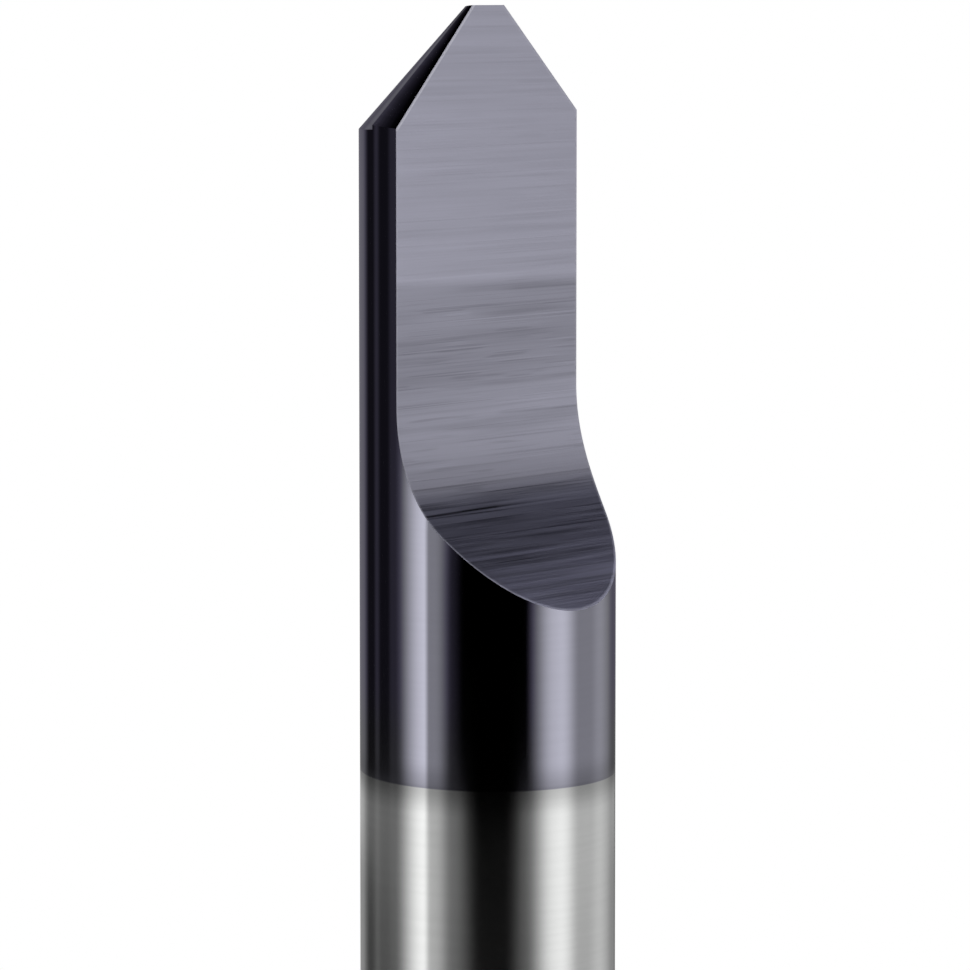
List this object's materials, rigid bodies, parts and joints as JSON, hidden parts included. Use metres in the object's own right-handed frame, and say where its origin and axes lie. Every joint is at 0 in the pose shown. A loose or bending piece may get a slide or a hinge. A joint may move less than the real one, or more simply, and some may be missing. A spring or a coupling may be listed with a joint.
{
  "type": "v groove router bit",
  "caption": "Solid carbide half-round V groove bit: ground rake flat with a curved run-out, relieved V point with a narrow flat tip, dark coated cutting end and bright plain shank.",
  "frame": {"origin": "centre of the shank's end face", "axes": "+Z along the tool axis from the shank to the tip, the rake face looks towards -Y, the cutting edge is on its -X side"},
  "size_m": [0.0064, 0.0064, 0.0635],
  "materials": {
    "carbide": "finely ground, bright shank, dark coated cutting end"
  },
  "bodies": {
    "root": {"half_round_v_cutter": "carbide"}
  },
  "joints": []
}
